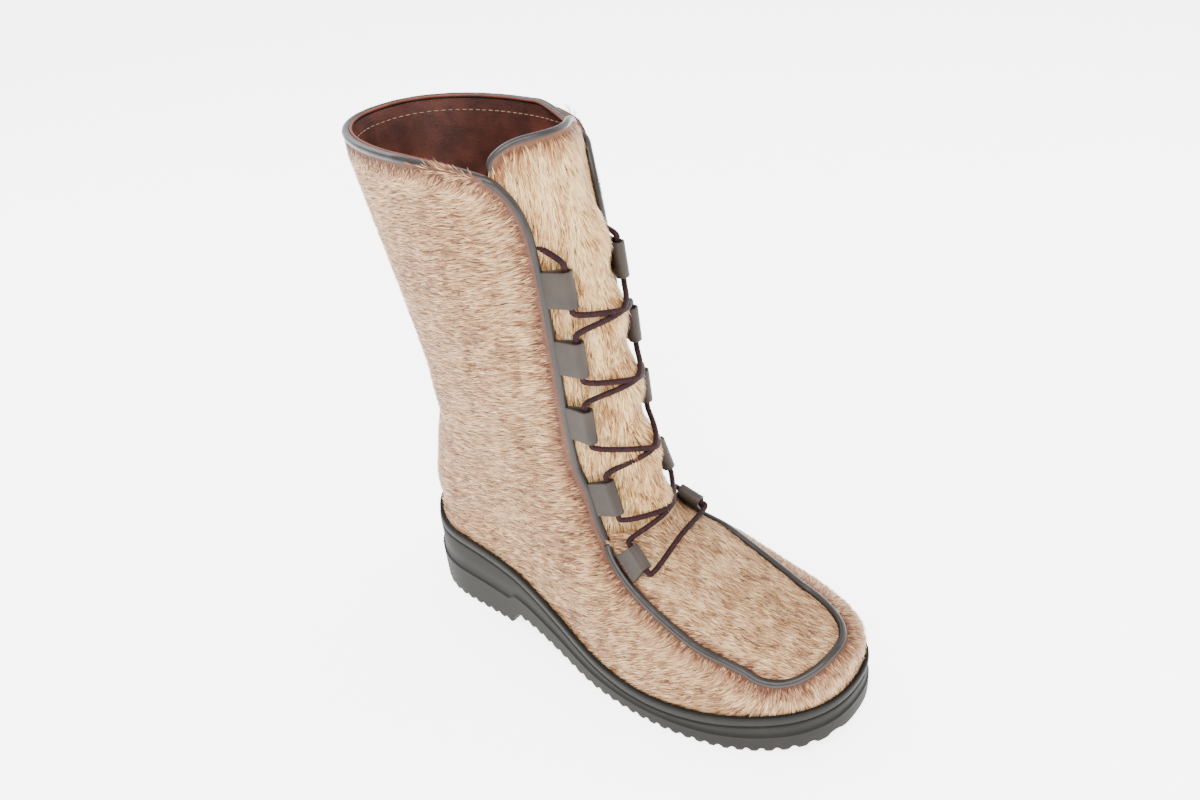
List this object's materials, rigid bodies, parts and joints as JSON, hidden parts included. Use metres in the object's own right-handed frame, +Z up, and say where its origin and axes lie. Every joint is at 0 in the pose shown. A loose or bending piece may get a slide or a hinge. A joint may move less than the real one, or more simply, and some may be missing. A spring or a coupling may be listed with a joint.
{
  "type": "mukluk boot",
  "caption": "Mid-calf laced winter boot in hair-on hide, with a plug seam over the toe, piped edges, lace loops and a one-piece rubber sole.",
  "frame": {"origin": "on the floor, at the middle of the heel's resting face", "axes": "+Z up, the toe towards -Y, the outer side of the right foot towards -X"},
  "size_m": [0.1085, 0.2931, 0.2982],
  "materials": {
    "hide": "short hair-on hide, beige streaked with red-brown",
    "tongue_hide": "short hair-on hide, paler yellow with orange streaks",
    "sole": "matt dark olive rubber",
    "piping": "smooth taupe leather with a soft gloss",
    "loop": "taupe leather",
    "lace": "round woven cord, dark burgundy",
    "insole": "grey-green felt"
  },
  "bodies": {
    "root": {"outsole": "sole", "insole": "insole", "upper": "hide", "tongue": "tongue_hide", "edge_piping": "piping", "plug_piping": "piping", "lace_loop_outer_1": "loop", "lace_loop_inner_1": "loop", "lace_loop_outer_2": "loop", "lace_loop_inner_2": "loop", "lace_loop_outer_3": "loop", "lace_loop_inner_3": "loop", "lace_loop_outer_4": "loop", "lace_loop_inner_4": "loop", "lace_loop_outer_5": "loop", "lace_loop_inner_5": "loop", "lace": "lace"}
  },
  "joints": []
}
